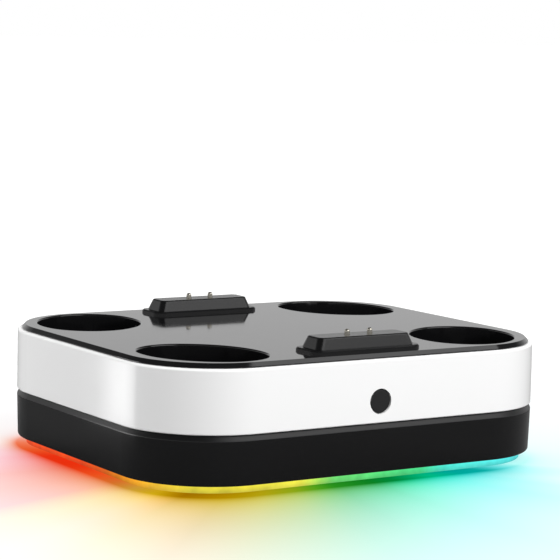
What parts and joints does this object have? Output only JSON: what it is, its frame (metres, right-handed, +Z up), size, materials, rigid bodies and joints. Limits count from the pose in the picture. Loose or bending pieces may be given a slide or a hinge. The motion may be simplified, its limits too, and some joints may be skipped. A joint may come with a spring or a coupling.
{
  "type": "controller charging dock",
  "caption": "Low rounded charging dock for game controllers: glossy black deck with deep grip wells and charging stems, white band, black base and a lit ring beneath.",
  "frame": {"origin": "on the table, under the middle of the body", "axes": "+X to the right seen from the front, -Y out of the front with the button, +Z up"},
  "size_m": [0.175, 0.146, 0.0547],
  "materials": {
    "black_gloss": "high-gloss black moulded plastic",
    "white_gloss": "glossy white moulded plastic",
    "black_satin": "satin black moulded plastic",
    "clear_acrylic": "clear acrylic lit from behind",
    "black_matte": "fine matt texture",
    "foot_rubber": "soft matt rubber",
    "screw_steel": "zinc-plated",
    "board_laminate": "green solder mask",
    "chip_epoxy": "moulded black epoxy",
    "ferrite": "sintered dark grey",
    "capacitor_can": "drawn bright can",
    "socket_steel": "drawn nickel-plated steel",
    "button_plastic": "fine matt texture",
    "stem_plastic": "satin black moulded plastic",
    "contact_metal": "bright plated contact",
    "strip_film": "white film",
    "led_white": "moulded LED package"
  },
  "bodies": {
    "dock": {"top_deck": "black_gloss", "fascia_band": "white_gloss", "base_housing": "black_satin", "light_ring": "clear_acrylic", "bottom_plate": "black_matte", "foot_front_left": "foot_rubber", "foot_front_right": "foot_rubber", "foot_rear_left": "foot_rubber", "foot_rear_right": "foot_rubber", "bottom_screws": "screw_steel", "board_screws": "screw_steel", "main_board": "board_laminate", "charge_chips": "chip_epoxy", "power_inductors": "ferrite", "board_capacitors": "capacitor_can", "power_socket_shell": "socket_steel", "power_socket_tongue": "chip_epoxy", "light_switch": "chip_epoxy", "front_stem": "stem_plastic", "rear_stem": "stem_plastic", "front_barrels": "contact_metal", "rear_barrels": "contact_metal", "led_strip": "strip_film", "led_chips": "led_white", "led_ribbon": "strip_film"},
    "light_button": {"light_button": "button_plastic", "switch_plunger": "chip_epoxy"},
    "contact_front_left": {"contact_pin_front_left": "contact_metal"},
    "contact_front_right": {"contact_pin_front_right": "contact_metal"},
    "contact_rear_left": {"contact_pin_rear_left": "contact_metal"},
    "contact_rear_right": {"contact_pin_rear_right": "contact_metal"}
  },
  "joints": [
    {"name": "button_press", "type": "slide", "parent": "dock", "child": "light_button", "axis": [0, 1, 0], "range_m": [0, 0.0006], "stiffness_N_per_m": 600, "springref_m": -0.0004},
    {"name": "contact_press_front_left", "type": "slide", "parent": "dock", "child": "contact_front_left", "axis": [0, 0, -1], "range_m": [0, 0.0012], "stiffness_N_per_m": 250, "springref_m": -0.0012},
    {"name": "contact_press_front_right", "type": "slide", "parent": "dock", "child": "contact_front_right", "axis": [0, 0, -1], "range_m": [0, 0.0012], "stiffness_N_per_m": 250, "springref_m": -0.0012},
    {"name": "contact_press_rear_left", "type": "slide", "parent": "dock", "child": "contact_rear_left", "axis": [0, 0, -1], "range_m": [0, 0.0012], "stiffness_N_per_m": 250, "springref_m": -0.0012},
    {"name": "contact_press_rear_right", "type": "slide", "parent": "dock", "child": "contact_rear_right", "axis": [0, 0, -1], "range_m": [0, 0.0012], "stiffness_N_per_m": 250, "springref_m": -0.0012}
  ]
}
